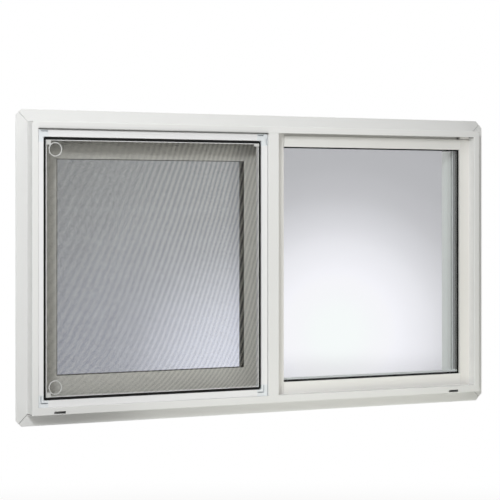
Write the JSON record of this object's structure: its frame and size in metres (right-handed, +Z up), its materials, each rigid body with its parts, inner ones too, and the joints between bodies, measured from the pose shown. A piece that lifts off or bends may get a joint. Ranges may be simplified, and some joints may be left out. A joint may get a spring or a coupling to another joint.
{
  "type": "horizontal sliding window",
  "caption": "White vinyl sliding window in a nail-fin frame, with a fixed insulated pane beside a sash that slides behind a removable insect screen.",
  "frame": {"origin": "on the back face of the sill's nail fin, half way along the window and half way up the fin", "axes": "+X along the width, to the right as seen from outdoors; +Y into the wall, towards the room; +Z up"},
  "size_m": [0.806, 0.0635, 0.4511],
  "materials": {
    "white_vinyl": "satin white extruded vinyl",
    "sash_vinyl": "satin white extruded vinyl",
    "screen_paint": "white baked enamel on rolled aluminium",
    "key_plastic": "cool white moulded plastic",
    "tab_plastic": "translucent white moulded plastic",
    "spline_rubber": "matt black vinyl cord",
    "mesh_fibre": "charcoal coated glass-fibre mesh",
    "clear_glass": "clear float glass with a faint green edge",
    "spacer_metal": "mill-finish bent spacer bar",
    "gasket_rubber": "matt black glazing gasket",
    "pile_fibre": "grey pile weather strip",
    "glide_plastic": "natural nylon",
    "lock_paint": "white enamel on a die casting"
  },
  "bodies": {
    "frame": {"frame_head": "white_vinyl", "frame_sill": "white_vinyl", "frame_jamb_left": "white_vinyl", "frame_jamb_right": "white_vinyl", "middle_post": "white_vinyl", "fixed_stile_left": "white_vinyl", "fixed_stile_right": "white_vinyl", "fixed_rail_top": "white_vinyl", "fixed_rail_bottom": "white_vinyl", "fixed_glass_outdoor": "clear_glass", "fixed_glass_indoor": "clear_glass", "fixed_spacer": "spacer_metal", "fixed_gasket": "gasket_rubber", "screen_bar_top": "screen_paint", "screen_bar_bottom": "screen_paint", "screen_bar_left": "screen_paint", "screen_bar_right": "screen_paint", "screen_corner_keys": "key_plastic", "screen_spline": "spline_rubber", "screen_mesh": "mesh_fibre", "screen_pull_tabs": "tab_plastic"},
    "sash": {"sash_rail_top": "sash_vinyl", "sash_rail_bottom": "sash_vinyl", "sash_stile_lock": "sash_vinyl", "sash_stile_meeting": "sash_vinyl", "sash_bead_top": "sash_vinyl", "sash_bead_bottom": "sash_vinyl", "sash_bead_left": "sash_vinyl", "sash_bead_right": "sash_vinyl", "sash_glass_outdoor": "clear_glass", "sash_glass_indoor": "clear_glass", "sash_spacer": "spacer_metal", "sash_gasket": "gasket_rubber", "sash_glides": "glide_plastic", "sash_pile_strips": "pile_fibre", "sash_lock_base": "lock_paint", "sash_lock_lever": "lock_paint"}
  },
  "joints": [
    {"name": "sash_slide", "type": "slide", "parent": "frame", "child": "sash", "axis": [1, 0, 0], "range_m": [0, 0.329]}
  ]
}
